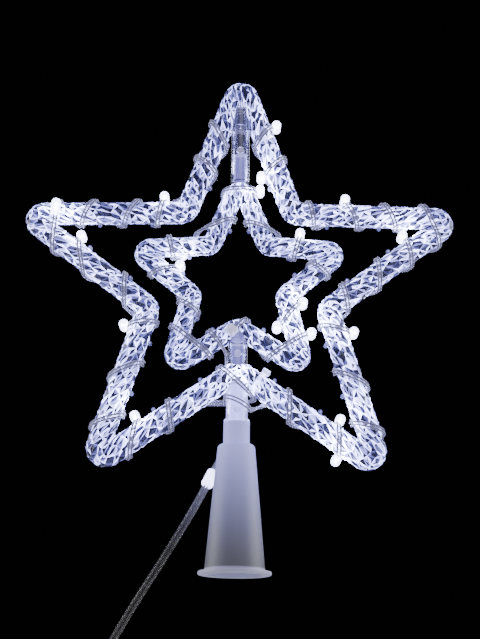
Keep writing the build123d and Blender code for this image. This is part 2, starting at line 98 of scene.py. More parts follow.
class Finish:
    """A material with one Principled shader; constants go on its sockets and patterns into them."""

    def __init__(self, name, **constants):
        self.material = bpy.data.materials.new(name)
        self.material.use_nodes = True
        self.tree = self.material.node_tree
        self.shader = self.tree.nodes["Principled BSDF"]
        for socket_name, value in constants.items():
            self.shader.inputs[socket_name.replace("_", " ")].default_value = value

    def node(self, kind, settings, sockets, output=0):
        made = self.tree.nodes.new(kind)
        for setting, value in settings.items():
            setattr(made, setting, value)
        for key, value in sockets.items():
            if isinstance(value, Signal):
                self.tree.links.new(value.socket, made.inputs[key])
            else:
                made.inputs[key].default_value = value
        return Signal(self, made.outputs[output])

    def place(self):
        return self.node("ShaderNodeTexCoord", {}, {}, "Object")

    def height(self):
        return self.node("ShaderNodeSeparateXYZ", {}, {0: self.place()}, 2)

    def noise(self, scale, detail):
        sockets = {"Vector": self.place(), "Scale": scale, "Detail": detail}
        return self.node("ShaderNodeTexNoise", {}, sockets, "Fac")

    def blend(self, factor, first, second):
        sockets = {0: factor, 6: first, 7: second}
        return self.node("ShaderNodeMix", {"data_type": "RGBA"}, sockets, 2)

    def feed(self, **signals):
        for socket_name, signal in signals.items():
            self.tree.links.new(signal.socket, self.shader.inputs[socket_name.replace("_", " ")])

    # A cloudy colour between two, rougher towards the second, and the cloud itself
    def mottle(self, scale, detail, first, second, smooth, rough):
        cloud = self.noise(scale, detail)
        self.feed(Base_Color=self.blend(cloud, first, second), Roughness=smooth + rough * cloud)
        return cloud

    def bump(self, height, depth):
        sockets = {"Height": height, "Distance": depth, "Strength": 1.0}
        self.feed(Normal=self.node("ShaderNodeBump", {}, sockets))

    def cover(self, *pieces):
        for piece in pieces:
            piece.data.materials.clear()
            piece.data.materials.append(self.material)


cone_top = 0.065
cone_ripple = 40.0
cone_ripple_depth = 0.00005
cone_mottle = 0.1
cone_smooth = 0.45
cone_rough = 0.12
# Painted shade and light: the cone is coloured darker at the foot and lighter at the top, with a
# painted glow growing upward
cone_painted_shade_low = (0.17, 0.17, 0.20, 1.0)
cone_painted_light_high = (0.38, 0.39, 0.62, 1.0)
cone_painted_glow_low = (0.004, 0.004, 0.006, 1.0)
cone_painted_glow_high = (0.34, 0.34, 0.90, 1.0)
# A painted highlight and painted glow on the flange, as lit from above
flange_painted_highlight = (0.46, 0.46, 0.58, 1.0)
flange_painted_glow = (0.10, 0.10, 0.19, 1.0)
flange_top = 0.0034
flange_fade = 0.0008
cone_finish = Finish(
    "white_moulded_cone", Coat_Weight=0.15, Coat_Roughness=0.4, Emission_Strength=1.0,
)
cone_painted_light_rise = (cone_finish.height() / cone_top).clamped()
cone_flange = ((flange_top - cone_finish.height()) / flange_fade).clamped()
cone_grain = cone_finish.noise(cone_ripple, 2.0)
cone_painted_shade_and_grain = cone_painted_light_rise * (1 - cone_mottle + cone_mottle * cone_grain)
cone_painted_wall_colour = cone_finish.blend(cone_painted_shade_and_grain, cone_painted_shade_low, cone_painted_light_high)
cone_painted_wall_glow = cone_finish.blend(cone_painted_light_rise * cone_painted_light_rise, cone_painted_glow_low, cone_painted_glow_high)
cone_finish.feed(
    Base_Color=cone_finish.blend(cone_flange, cone_painted_wall_colour, flange_painted_highlight),
    Emission_Color=cone_finish.blend(cone_flange, cone_painted_wall_glow, flange_painted_glow),
    Roughness=cone_smooth + cone_rough * cone_grain,
)
cone_finish.bump(cone_grain, cone_ripple_depth)
cone_finish.cover(nodes["base_cone"])


# Plugs, sleeve and link tubes: the clear column that carries the two stars.
# They are turned from smooth acrylic rod and tube and glued into the shells.
# The sleeve turns on the base plug and rests on the cone's neck by its rim.
# Clear acrylic with a painted glow: its emission stands in for the lights' glow caught in it,
# dimmer in the streaks
def clear_acrylic(name, tint, glow, streak_scale):
    finish = Finish(
        name, Transmission_Weight=1.0, IOR=1.49, Coat_Weight=0.3, Emission_Strength=1.0,
    )
    shade = tuple(streak_shade * channel for channel in tint[:3]) + (1.0,)
    streaked_painted_glow = tuple(streak_dimming * channel for channel in glow[:3]) + (1.0,)
    streak = finish.mottle(streak_scale, 3.0, shade, tint, smooth=0.01, rough=0.05)
    finish.feed(Emission_Color=finish.blend(streak, streaked_painted_glow, glow))
    return finish


streak_shade = 0.86
streak_dimming = 0.3
tube_streaks = 90.0
turned_streaks = 140.0
tube_tint = (0.95, 0.95, 1.0, 1.0)
tube_finish = clear_acrylic(
    "smooth_clear_tube", tube_tint, (0.020, 0.020, 0.040, 1.0), tube_streaks,
)
tube_finish.cover(nodes["lower_link_tube"], nodes["upper_link_tube"])
# The sleeve gets a strong painted glow
sleeve_tube_finish = clear_acrylic(
    "painted_glow_clear_sleeve", tube_tint, (0.40, 0.40, 1.0, 1.0), tube_streaks,
)
sleeve_tube_finish.cover(nodes["base_sleeve"])
plug_finish = clear_acrylic(
    "turned_clear_plug", (0.88, 0.88, 0.98, 1.0), (0.20, 0.19, 0.62, 1.0), turned_streaks,
)
plug_finish.cover(nodes["base_plug"], nodes["hub_plug"], nodes["apex_plug"])
peg_finish = clear_acrylic(
    "stepped_clear_peg", (0.70, 0.70, 0.86, 1.0), (0.030, 0.030, 0.075, 1.0), turned_streaks,
)
peg_finish.cover(nodes["upper_peg"])


# Pins: short round pegs that lock the column, and the finer ones in the ears of the shells.
# They are clear rod with a milky sawn face; their glow is painted.
# Each is pushed in from the front and flush with what it holds.
sawn_streaks = 300.0
pin_finish = clear_acrylic(
    "sawn_clear_pin", (0.80, 0.80, 0.92, 1.0), (0.22, 0.22, 0.40, 1.0), sawn_streaks,
)
pin_finish.cover(nodes["base_pin"], nodes["link_pins"], nodes["ear_pins"])


# Star shells: the front and rear halves of the large and the small star's tube.
# They are moulded clear acrylic, cut all over in small three-sided crystal facets.
# The halves meet on the middle plane and are pinned through ring ears on the inner edges.
star_centre = Vector((0, 0, 0.155))
star_points = 5
depth_way = Vector((0, 1, 0))


class Star:
    """The line of a star tube: corner 0 is the apex and odd corners are the notches."""

    def __init__(self, tip_radius, notch_radius, tube_radius, tip_bend, notch_bend):
        self.tip_radius = tip_radius
        self.notch_radius = notch_radius
        self.tube_radius = tube_radius
        self.tip_bend = tip_bend
        self.notch_bend = notch_bend
        tip, along, self.arm_length, _ = self.arm(0)
        self.tip_angle = along.angle(star_centre - tip)
        self.notch_angle = (-along).angle(tip + along * self.arm_length - star_centre)

    def corner(self, index):
        angle = math.pi / 2 - math.pi / star_points * index
        radius = self.notch_radius if index % 2 else self.tip_radius
        return star_centre + Vector((math.cos(angle), 0, math.sin(angle))) * radius

    def arm(self, index):
        tip = self.corner(index + index % 2)
        notch = self.corner(index + 1 - index % 2)
        along = (notch - tip).normalized()
        outward = along.cross(depth_way).normalized()
        if outward.dot((tip + notch) / 2 - star_centre) < 0:
            outward = -outward
        return tip, along, (notch - tip).length, outward

    # The place at a share of one line along the tube's surface, rounding both corners
    def surface(self, offset, share):
        tip_reach = self.tip_bend + offset
        notch_reach = self.notch_bend - offset
        tip_trim = self.tip_bend / math.tan(self.tip_angle)
        notch_trim = self.notch_bend / math.tan(self.notch_angle)
        start = tip_trim if tip_reach > 0 else -offset / math.tan(self.tip_angle)
        notch_cut = notch_trim if notch_reach > 0 else offset / math.tan(self.notch_angle)
        end = self.arm_length - notch_cut
        tip_arc = max(tip_reach, 0) * (math.pi / 2 - self.tip_angle)
        notch_arc = max(notch_reach, 0) * (math.pi / 2 - self.notch_angle)
        travel = share * (tip_arc + end - start + notch_arc)
        if travel < tip_arc:
            angle = (tip_arc - travel) / tip_reach
            run = tip_trim - tip_reach * math.sin(angle)
            return run, -self.tip_bend + tip_reach * math.cos(angle)
        beyond = travel - tip_arc - (end - start)
        if beyond > 0 and notch_reach > 0:
            angle = beyond / notch_reach
            run = self.arm_length - notch_trim + notch_reach * math.sin(angle)
            return run, self.notch_bend - notch_reach * math.cos(angle)
        return start + travel - tip_arc, offset


outer_low, outer_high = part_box("outer_front_shell")
outer_star = Star(
    tip_radius=0.126, notch_radius=0.0505, tube_radius=outer_high.y - outer_low.y,
    tip_bend=0.004, notch_bend=0.005,
)
inner_star = Star(
    tip_radius=0.0603, notch_radius=0.0262, tube_radius=0.0056, tip_bend=0.0034, notch_bend=0.004,
)
light_names = [name for name in nodes if "_light" in name]
light_places = [(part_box(name)[0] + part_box(name)[1]) / 2 for name in light_names]
# The plug in the bottom notches gets a painted glow on the shells, like a lamp of its own
hub_painted_glow_place = Vector((0, 0, 0.1045))
shell_painted_glow_places = [*light_places, hub_painted_glow_place]
# Painted highlight lines run along the facets' base edges; walls and rims get none
facet_painted_edge_lines = (1.0, 1.0, 0.0)
wall_painted_edge_lines = (0.0, 0.0, 0.0, 0.0)
wall_painted_glint = 0.0
facet_wander = 0.5
corner_gather = 0.2
weld_distance = 1e-6
hole_sides = 40
ear_painted_glint = 0.45
ear_radius = 0.00105
ear_hole_radius = 0.00055
ear_thickness = 0.0012
ear_segments = 14
glow_falloff = 1.5


# A new object in the scene
def add_piece(name, data):
    piece = bpy.data.objects.new(name, data)
    bpy.context.scene.collection.objects.link(piece)
    return piece


# Rows of facets lie closer together at the corners, so that these stay round
def row_share(step_share):
    return step_share - corner_gather * math.sin(2 * math.pi * step_share) / (2 * math.pi)


# Points of half an arm's surface, row by row, each with its share of the way round
def facet_rows(star, radius, rows, columns, index, side, wander):
    tip, along, _, outward = star.arm(index)
    table = []
    for row in range(rows + 1):
        staggered = wander and row % 2
        if staggered:
            shares = [0] + [(column + 0.5) / columns for column in range(columns)] + [1]
        else:
            shares = [column / columns for column in range(columns + 1)]
        line = []
        for around in shares:
            step_share = row / rows
            if wander and 0 < row < rows and 0 < around < 1:
                step_share += facet_wander * (wander.random() - 0.5) / rows
                around += facet_wander * (wander.random() - 0.5) / columns
            angle = math.pi * around
            run, offset = star.surface(radius * math.cos(angle), row_share(step_share))
            depth = depth_way * (side * radius * math.sin(angle))
            line.append((around, tip + along * run + outward * offset + depth))
        table.append(line)
    return table


# Triangles between two neighbouring rows of points, in order round the tube
def zipped(first, second):
    one, two = 0, 0
    while one < len(first) - 1 or two < len(second) - 1:
        step_first = two == len(second) - 1
        if one < len(first) - 1 and not step_first:
            step_first = first[one + 1][0] <= second[two + 1][0]
        if step_first:
            yield first[one][1], first[one + 1][1], second[two][1]
            one += 1
        else:
            yield first[one][1], second[two + 1][1], second[two][1]
            two += 1


# A face with its own painted glint, its corners marked where a painted bright edge line runs
def add_face(form, points, painted_edge_values, painted_glint):
    painted_edge_mark = form.verts.layers.float["edge"]
    corners = [form.verts.new(point) for point in points]
    for corner, value in zip(corners, painted_edge_values):
        corner[painted_edge_mark] = value
    form.faces.new(corners)[form.faces.layers.float["painted_glint"]] = painted_glint


# Faces between each loop of points and the next, and from the last to the first
def join_loops(form, loops):
    faces = []
    for loop, following in zip(loops, loops[1:] + loops[:1]):
        for step in range(len(loop)):
            after = (step + 1) % len(loop)
            corners = (loop[step], loop[after], following[after], following[step])
            faces.append(form.faces.new(corners))
    return faces


# One ring ear, from the middle plane to its outer face
def add_ear(form, centre, depth):
    loops = []
    edges = (
        (ear_radius, 0), (ear_radius, depth), (ear_hole_radius, depth), (ear_hole_radius, 0),
    )
    for radius, level in edges:
        loop = []
        for step in range(ear_segments):
            angle = 2 * math.pi * step / ear_segments
            place = Vector((radius * math.cos(angle), level, radius * math.sin(angle)))
            loop.append(form.verts.new(centre + place))
        loops.append(loop)
    for face in join_loops(form, loops):
        face[form.faces.layers.float["painted_glint"]] = ear_painted_glint


# One half of a star: facets outside, a smooth wall inside and flat rims between
def star_half(name, star, wall, rows, columns, facet_height, side):
    form = bmesh.new()
    form.verts.layers.float.new("edge")
    form.faces.layers.float.new("painted_glint")
    sparkle = random.Random(len(name))
    base_radius = star.tube_radius - facet_height
    for index in range(2 * star_points):
        tip, along, length, _ = star.arm(index)
        middle = tip + along * length / 2
        outer = facet_rows(star, base_radius, rows, columns, index, side, sparkle)
        inner = facet_rows(star, star.tube_radius - wall, rows, columns, index, side, None)
        for row, following in zip(outer, outer[1:]):
            for triangle in zipped(row, following):
                centre = sum(triangle, Vector()) / 3
                first, second, third = triangle
                normal = (second - first).cross(third - first).normalized()
                on_line = middle + along * (centre - middle).dot(along)
                if normal.dot(centre - on_line) < 0:
                    normal = -normal
                peak = centre + normal * facet_height
                for near, far in zip(triangle, triangle[1:] + triangle[:1]):
                    # A random painted glint for each face of a facet, standing in for light
                    # refracted through it
                    painted_shine = sparkle.random()
                    painted_glint = painted_shine * painted_shine * (3 - 2 * painted_shine)
                    add_face(form, (near, far, peak), facet_painted_edge_lines, painted_glint)
        for row, following in zip(inner, inner[1:]):
            for column in range(columns):
                after = column + 1
                corners = (row[column], row[after], following[after], following[column])
                add_face(form, [corner[1] for corner in corners], wall_painted_edge_lines, wall_painted_glint)
        for rim in (0, -1):
            for step in range(rows):
                after = step + 1
                corners = (outer[step][rim], outer[after][rim], inner[after][rim], inner[step][rim])
                add_face(form, [corner[1] for corner in corners], wall_painted_edge_lines, wall_painted_glint)
    bmesh.ops.remove_doubles(form, verts=form.verts, dist=weld_distance)
    bmesh.ops.dissolve_degenerate(form, edges=form.edges, dist=weld_distance)
    bmesh.ops.recalc_face_normals(form, faces=form.faces)
    mesh = bpy.data.meshes.new(name)
    form.to_mesh(mesh)
    form.free()
    return add_piece(name, mesh)


# Round holes where the clear column passes through a shell
def drill(piece, drillings):
    for radius, bottom, top in drillings:
        bpy.ops.mesh.primitive_cylinder_add(
            vertices=hole_sides, radius=radius, depth=top - bottom,
            location=(0, 0, (bottom + top) / 2),
        )
        cutter = bpy.context.object
        hole = piece.modifiers.new("hole", "BOOLEAN")
        hole.object = cutter
        hole.operation = "DIFFERENCE"
        hole.solver = "MANIFOLD"
        bpy.context.view_layer.objects.active = piece
        bpy.ops.object.modifier_apply(modifier=hole.name)
        bpy.data.objects.remove(cutter)


# Ears along the inner edge of every arm, where pins hold the two halves together
def add_ears(piece, star, ear_shares, side):
    form = bmesh.new()
    form.from_mesh(piece.data)
    for share in ear_shares:
        for index in range(2 * star_points):
            tip, along, length, outward = star.arm(index)
            ear = tip + along * length * share - outward * (star.tube_radius + ear_radius / 2)
            add_ear(form, ear, side * ear_thickness)
    bmesh.ops.recalc_face_normals(form, faces=form.faces)
    form.to_mesh(piece.data)
    form.free()


# How strongly the lights shine on each point of a piece, by nearness, kept with its mesh: a painted
# glow on the shells, the lamp's own glow on the caps
def light_up(piece, reach, places, shared=0.0):
    glow = piece.data.attributes.new("glow", "FLOAT", "POINT")
    for vertex, value in zip(piece.data.vertices, glow.data):
        value.value = shared + sum(
            math.exp(-((vertex.co - place).length / reach) ** glow_falloff) for place in places
        )


# Facets shine with painted light: their own painted glint, painted highlight lines along their
# edges and a painted glow near the lights, from violet to white
def faceted_acrylic(name, painted_shade_colour, painted_light_colour, painted_deep_glow, painted_violet_glow, painted_white_glow):
    finish = Finish(
        name, IOR=1.49, Coat_Weight=0.4, Coat_Roughness=0.05, Emission_Strength=40.0,
    )
    glow = finish.node("ShaderNodeAttribute", {"attribute_name": "glow"}, {}, "Fac").clamped()
    painted_glint = finish.node("ShaderNodeAttribute", {"attribute_name": "painted_glint"}, {}, "Fac")
    edge = finish.node("ShaderNodeAttribute", {"attribute_name": "edge"}, {}, "Fac")
    edge_squared = edge * edge
    line = edge_squared * edge_squared * edge_squared * edge_squared
    painted_shine = painted_glint * (painted_glint_share + painted_glint_glow_share * glow)
    painted_light_level = (painted_shine + painted_edge_share * line + painted_halo_share * glow * glow).clamped()
    painted_light_cubed = painted_light_level * painted_light_level * painted_light_level
    painted_glow_tint = finish.blend(painted_light_cubed, painted_deep_glow, painted_violet_glow)
    finish.feed(
        Base_Color=finish.blend(painted_light_level, painted_shade_colour, painted_light_colour),
        Emission_Color=finish.blend(painted_light_cubed * painted_light_cubed, painted_glow_tint, painted_white_glow),
        Alpha=(dark_alpha + (1 - dark_alpha) * painted_light_level).clamped(),
        Roughness=dark_roughness - facet_polish * painted_light_level,
    )
    return finish


painted_glint_share = 0.64
painted_glint_glow_share = 0.30
painted_edge_share = 0.18
painted_halo_share = 0.20
dark_alpha = 0.84
dark_roughness = 0.28
facet_polish = 0.2
sleeve_hole = 0.00562
link_hole = 0.00512
inner_link_hole = 0.0050
# Each hole has a radius, a lower and an upper end
outer_holes = ((sleeve_hole, 0.070, 0.0976), (link_hole, 0.0965, 0.130), (link_hole, 0.215, 0.2616))
inner_holes = ((inner_link_hole, 0.104, 0.1301), (inner_link_hole, 0.2149, 0.230))
outer_ear_shares = (0.47, 0.79)
inner_ear_shares = (0.71,)
# Lit and shaded copies of the facet colour, blended by the painted light
facet_painted_shade = (0.004, 0.004, 0.012, 1.0)
facet_painted_light = (0.12, 0.12, 0.20, 1.0)
outer_facets = faceted_acrylic(
    "large_star_facets", facet_painted_shade, facet_painted_light, painted_deep_glow=(0.0001, 0.0001, 0.0005, 1.0),
    painted_violet_glow=(0.042, 0.042, 0.23, 1.0), painted_white_glow=(0.50, 0.53, 1.0, 1.0),
)
inner_facets = faceted_acrylic(
    "small_star_facets", facet_painted_shade, facet_painted_light, painted_deep_glow=(0.0001, 0.0001, 0.0006, 1.0),
    painted_violet_glow=(0.042, 0.044, 0.24, 1.0), painted_white_glow=(0.50, 0.54, 1.0, 1.0),
)
for half, side in (("front", -1), ("rear", 1)):
    outer_half = star_half(
        f"outer_{half}_facets", outer_star, wall=0.0015, rows=21, columns=5,
        facet_height=0.00050, side=side,
    )
    drill(outer_half, outer_holes)
    add_ears(outer_half, outer_star, outer_ear_shares, side)
    # A painted glow on the large star near the lights and the hub plug, and a little everywhere
    light_up(outer_half, reach=0.0105, places=shell_painted_glow_places, shared=0.04)
    outer_facets.cover(outer_half)
    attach(outer_half, "star")
    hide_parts(f"outer_{half}_shell")
    inner_half = star_half(
        f"inner_{half}_facets", inner_star, wall=0.0012, rows=11, columns=5,
        facet_height=0.00035, side=side,
    )
    drill(inner_half, inner_holes)
    add_ears(inner_half, inner_star, inner_ear_shares, side)
    # The same painted glow on the small star
    light_up(inner_half, reach=0.0090, places=shell_painted_glow_places, shared=0.12)
    inner_facets.cover(inner_half)
    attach(inner_half, "star")
    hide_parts(f"inner_{half}_shell")


# String of lights: two thin wires side by side, wound round both stars.
# Each is a dark copper core in a clear sleeve, laid over the tube by hand, turn after turn.
# A place is an arm, counted clockwise from the apex, and a share of its length from the tip.
wire_radius = 0.0008
core_radius = 0.00040
twin_offset = 0.00086
wire_stand_off = 0.00015
lead_in = 0.009
end_cap_run = 0.0025
handle_share = 0.39
# The sleeve and the lower link tube as bars: upper end, heading, length, a side and the radius
sleeve_place = (Vector((0, 0, 0.0975)), Vector((0, 0, -1)), 0.021, Vector((1, 0, 0)), 0.0056)
link_place = (Vector((0, 0, 0.130)), Vector((0, 0, -1)), 0.0254, Vector((-1, 0, 0)), link_hole)
left_turn_shares = (
    (5, 0.92), (4, 0.825), (5, 0.57), (5, 0.49), (5, 0.36), (5, 0.21),
    (6, 0.215), (6, 0.33), (6, 0.52), (6, 0.66), (6, 0.85), (6, 0.92),
    (7, 0.88), (7, 0.75), (7, 0.56), (7, 0.38), (7, 0.31),
    (8, 0.22), (8, 0.36), (8, 0.44), (8, 0.62), (8, 0.71), (8, 0.825), (8, 0.865),
    (9, 0.69), (9, 0.63), (9, 0.50), (9, 0.36), (0, 0.39),
)
right_turn_shares = (
    (9, 0.36), (0, 0.39), (0, 0.50), (0, 0.63), (0, 0.70),
    (1, 0.91), (1, 0.87), (1, 0.68), (1, 0.605), (1, 0.45), (1, 0.37), (1, 0.21),
    (2, 0.20), (2, 0.34), (2, 0.42), (2, 0.56), (2, 0.67), (2, 0.835), (2, 0.91),
    (3, 0.91), (3, 0.82), (3, 0.62), (3, 0.48), (3, 0.30), (3, 0.20),
    (4, 0.24), (4, 0.35), (4, 0.58), (4, 0.69), ("sleeve", 0.64), ("sleeve", 0.35),
)
inner_turn_shares = (
    ("link", 0.65), (5, 0.65), (5, 0.50), (6, 0.52), (6, 0.775), (6, 0.87),
    (7, 0.615), (7, 0.40), (8, 0.45), (8, 0.50), (8, 0.81),
    (9, 0.54), (9, 0.24), (0, 0.22), (0, 0.59), (1, 0.86), (1, 0.645), (1, 0.58),
    (2, 0.39), (2, 0.47), (3, 0.85), (3, 0.615), (3, 0.43), (4, 0.46), (4, 0.95), (5, 0.40),
)


# The bar of one arm of a star, or of the column where the string goes round that
def bar_of(star, name):
    if name == "sleeve":
        return sleeve_place
    if name == "link":
        return link_place
    return *star.arm(name), star.tube_radius


# The string over one star, as points with their heading and the way out from the tube
def winding(star, places, side, outer):
    bars = [bar_of(star, name) for name in [*range(2 * star_points), "sleeve", "link"]]
    edges = []
    previous = places[0][0]
    for name, share in places:
        origin, along, length, outward, radius = bar_of(star, name)
        over_tip = name != previous and (origin - bar_of(star, previous)[0]).length < wire_radius
        if edges and not over_tip:
            outer = not outer
        lift = outward if outer else -outward
        reach = radius + wire_stand_off + wire_radius
        edges.append((origin + along * length * share + lift * reach, lift))
        previous = name
    turns = []
    for (start, lift), (end, _) in zip(edges, edges[1:]):
        turns.append((start, depth_way * side, lift))
        way = (end - start).normalized()
        crests = []
        for origin, along, length, outward, radius in bars:
            before = (start - origin).dot(outward)
            after = (end - origin).dot(outward)
            if before * after < 0:
                point = start + (end - start) * (before / (before - after))
                if 0 <= (point - origin).dot(along) <= length:
                    crests.append(point)
        crests.sort(key=lambda point: (point - start).length)
        for point in crests[:1] + crests[1:][-1:]:
            height = star.tube_radius + wire_stand_off + wire_radius
            turns.append((point + depth_way * (side * height), way, depth_way * side))
        side = -side
    turns.append((edges[-1][0], depth_way * side, edges[-1][1]))
    return turns


# Halfway between two points of the string, with the heading of the first
def middle_of(first, second):
    return (first[0] + second[0]) / 2, first[1], first[2]


left_turns = winding(outer_star, left_turn_shares, -1, False)
left_start, left_way, left_lift = left_turns[0]
left_run = [(left_start - left_way * lead_in, left_way, left_lift), *left_turns[:-2],
            middle_of(left_turns[-3], left_turns[-2])]
inner_turns = winding(inner_star, inner_turn_shares, -1, True)
inner_start, inner_way, inner_lift = inner_turns[0]
inner_end, inner_end_way, inner_end_lift = inner_turns[-2]
inner_run = [(inner_start - inner_way * lead_in, inner_way, inner_lift), *inner_turns[:-1],
             (inner_end + inner_end_way * end_cap_run, inner_end_way, inner_end_lift)]
right_turns = winding(outer_star, right_turn_shares, 1, True)
leaving, leaving_way, leaving_lift = right_turns[-1]
loop_start = leaving + leaving_way * lead_in
loop_end = inner_run[0][0]
loop_top = (loop_start + loop_end) / 2 + depth_way * ((loop_end - loop_start).length / 2)
right_run = [
    middle_of(right_turns[1], right_turns[2]), *right_turns[2:],
    (loop_start, leaving_way, leaving_lift), (loop_top, Vector((0, 0, 1)), leaving_lift),
    (loop_end, inner_way, inner_lift),
]


# A curve with one smooth spline for each wire of the pair, thick by its points' radius
def twin_curve(name, run, radius):
    curve = bpy.data.curves.new(name, "CURVE")
    curve.dimensions = "3D"
    curve.bevel_depth = 1.0
    curve.bevel_resolution = 2
    curve.resolution_u = 6
    curve.use_fill_caps = True
    for twin in (-twin_offset, twin_offset):
        spline = curve.splines.new("BEZIER")
        spline.bezier_points.add(len(run) - 1)
        places = [point + way.cross(lift).normalized() * twin for point, way, lift in run]
        for index, (knot, (_, way, _)) in enumerate(zip(spline.bezier_points, run)):
            here = places[index]
            back_step = (here - places[max(index - 1, 0)]).length
            front_step = (places[min(index + 1, len(run) - 1)] - here).length
            knot.handle_left_type = "FREE"
            knot.handle_right_type = "FREE"
            knot.co = here
            knot.radius = radius
            knot.handle_left = here - way * back_step * handle_share
            knot.handle_right = here + way * front_step * handle_share
    return add_piece(name, curve)


# The wire sleeves glow with painted light in a cloudy pattern
sleeve_painted_glow_dim = (0.20, 0.20, 0.50, 1.0)
sleeve_painted_glow = (0.52, 0.52, 1.0, 1.0)
sleeve_alpha = 0.14
sleeve_haze = 0.10
sleeve_finish = Finish("clear_wire_sleeve", IOR=1.5, Coat_Weight=0.6, Emission_Strength=1.3)
sleeve_cloud = sleeve_finish.mottle(
    220.0, 2.0, (0.62, 0.61, 0.74, 1.0), (0.84, 0.83, 0.93, 1.0), smooth=0.10, rough=0.12,
)
sleeve_finish.feed(
    Emission_Color=sleeve_finish.blend(sleeve_cloud, sleeve_painted_glow_dim, sleeve_painted_glow),
    Alpha=sleeve_alpha + sleeve_haze * sleeve_cloud,
)
core_finish = Finish("stranded_copper_core", Metallic=0.4)
core_finish.mottle(
    900.0, 1.0, (0.006, 0.005, 0.006, 1.0), (0.05, 0.04, 0.04, 1.0), smooth=0.3, rough=0.25,
)
for winding_name, run in (("left", left_run), ("right", right_run), ("inner", inner_run)):
    wire_sleeves = twin_curve(f"{winding_name}_wire_sleeves", run, wire_radius)
    sleeve_finish.cover(wire_sleeves)
    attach(wire_sleeves, "star")
    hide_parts(f"{winding_name}_wire")
    wire_cores = twin_curve(f"{winding_name}_wire_cores", run, core_radius)
    core_finish.cover(wire_cores)
    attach(wire_cores, "star")


# Lights: clear caps moulded over the pair of wires, each with a lit chip inside.
# The caps are cast resin with rounded ends and shine white, a little blue at their ends.
# They sit on the outside of the wire, away from the tube.
lens_edge_glow = (0.02, 0.02, 0.12, 1.0)
lens_white_glow = (0.80, 0.83, 1.0, 1.0)
lens_edge_alpha = 0.30
lens_reach = 0.0034
lens_finish = Finish("lit_clear_cap", Coat_Weight=0.6, IOR=1.5, Emission_Strength=24.0)
lens_finish.mottle(
    400.0, 2.0, (0.86, 0.88, 1.0, 1.0), (0.98, 0.98, 1.0, 1.0), smooth=0.08, rough=0.1,
)
lens_glow = lens_finish.node("ShaderNodeAttribute", {"attribute_name": "glow"}, {}, "Fac").clamped()
lens_finish.feed(
    Emission_Color=lens_finish.blend(lens_glow, lens_edge_glow, lens_white_glow),
    Alpha=(lens_edge_alpha + (1 - lens_edge_alpha) * lens_glow).clamped(),
)
for name in light_names:
    light_up(nodes[name], reach=lens_reach, places=light_places)
    lens_finish.cover(nodes[name])
chip_finish = Finish("lit_chip", Emission_Strength=24.0)
chip_cloud = chip_finish.noise(900.0, 1.0)
chip_finish.feed(
    Emission_Color=chip_finish.blend(chip_cloud, (0.85, 0.88, 1.0, 1.0), (1.0, 1.0, 1.0, 1.0)),
    Base_Color=chip_finish.blend(chip_cloud, (0.9, 0.9, 0.8, 1.0), (1.0, 1.0, 0.95, 1.0)),
)
chip_finish.cover(nodes["light_chips"])


# End cap: the milky stopper that closes the far end of the string.
# It is moulded soft plastic, pushed over both wires in front of the inner bottom notch.
cap_finish = Finish("milky_end_cap", Coat_Weight=0.2, Emission_Strength=1.0)
cap_cloud = cap_finish.mottle(
    350.0, 3.0, (0.52, 0.52, 0.68, 1.0), (0.70, 0.70, 0.86, 1.0), smooth=0.35, rough=0.2,
)
# A painted glow on the end cap, in a cloudy pattern
cap_finish.feed(
    Emission_Color=cap_finish.blend(cap_cloud, (0.38, 0.38, 0.80, 1.0), (0.62, 0.62, 1.0, 1.0)),
)
cap_finish.cover(nodes["string_end_cap"])


# Cable tie: a small clear band that holds the string on the right arm of the bottom notch.
# It is moulded nylon, pulled tight round the tube and closed by a square head on its upper edge.
tie_arm = 4
tie_share = 0.86
tie_width = 0.0024
tie_thickness = 0.0006
tie_segments = 48
tie_head_size = (0.0042, 0.0026, 0.0040)
tie_head_round = 0.0006
tie_streaks = 500.0
tie_tip, tie_along, tie_length, tie_outward = outer_star.arm(tie_arm)
tie_centre = tie_tip + tie_along * (tie_length * tie_share)
tie_inner_radius = outer_star.tube_radius
tie_form = bmesh.new()
tie_loops = []
for reach, edge_side in ((0, -1), (tie_thickness, -1), (tie_thickness, 1), (0, 1)):
    loop = []
    for step in range(tie_segments):
        angle = 2 * math.pi * step / tie_segments
        around = tie_outward * math.cos(angle) + depth_way * math.sin(angle)
        edge_place = tie_centre + tie_along * (edge_side * tie_width / 2)
        loop.append(tie_form.verts.new(edge_place + around * (tie_inner_radius + reach)))
    tie_loops.append(loop)
join_loops(tie_form, tie_loops)
tie_head_reach = tie_inner_radius + tie_thickness + tie_head_size[1] / 2
tie_head_place = tie_centre - tie_outward * tie_head_reach
tie_head_turn = Matrix((tie_along, tie_outward, depth_way)).transposed().to_4x4()
tie_head_form = tie_head_turn @ Matrix.Diagonal((*tie_head_size, 1.0))
tie_head = bmesh.ops.create_cube(
    tie_form, size=1.0, matrix=Matrix.Translation(tie_head_place) @ tie_head_form,
)
tie_head_edges = list({edge for vertex in tie_head["verts"] for edge in vertex.link_edges})
bmesh.ops.bevel(
    tie_form, geom=tie_head_edges, offset=tie_head_round, segments=2, affect="EDGES",
    profile=0.5,
)
bmesh.ops.recalc_face_normals(tie_form, faces=tie_form.faces)
tie_mesh = bpy.data.meshes.new("cable_tie")
tie_form.to_mesh(tie_mesh)
tie_form.free()
cable_tie = add_piece("cable_tie", tie_mesh)
# The tie glows with a bright painted glow
tie_finish = clear_acrylic(
    "clear_nylon_tie", (0.86, 0.86, 0.98, 1.0), (1.1, 1.1, 2.2, 1.0), tie_streaks,
)
tie_finish.cover(cable_tie)
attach(cable_tie, "star")


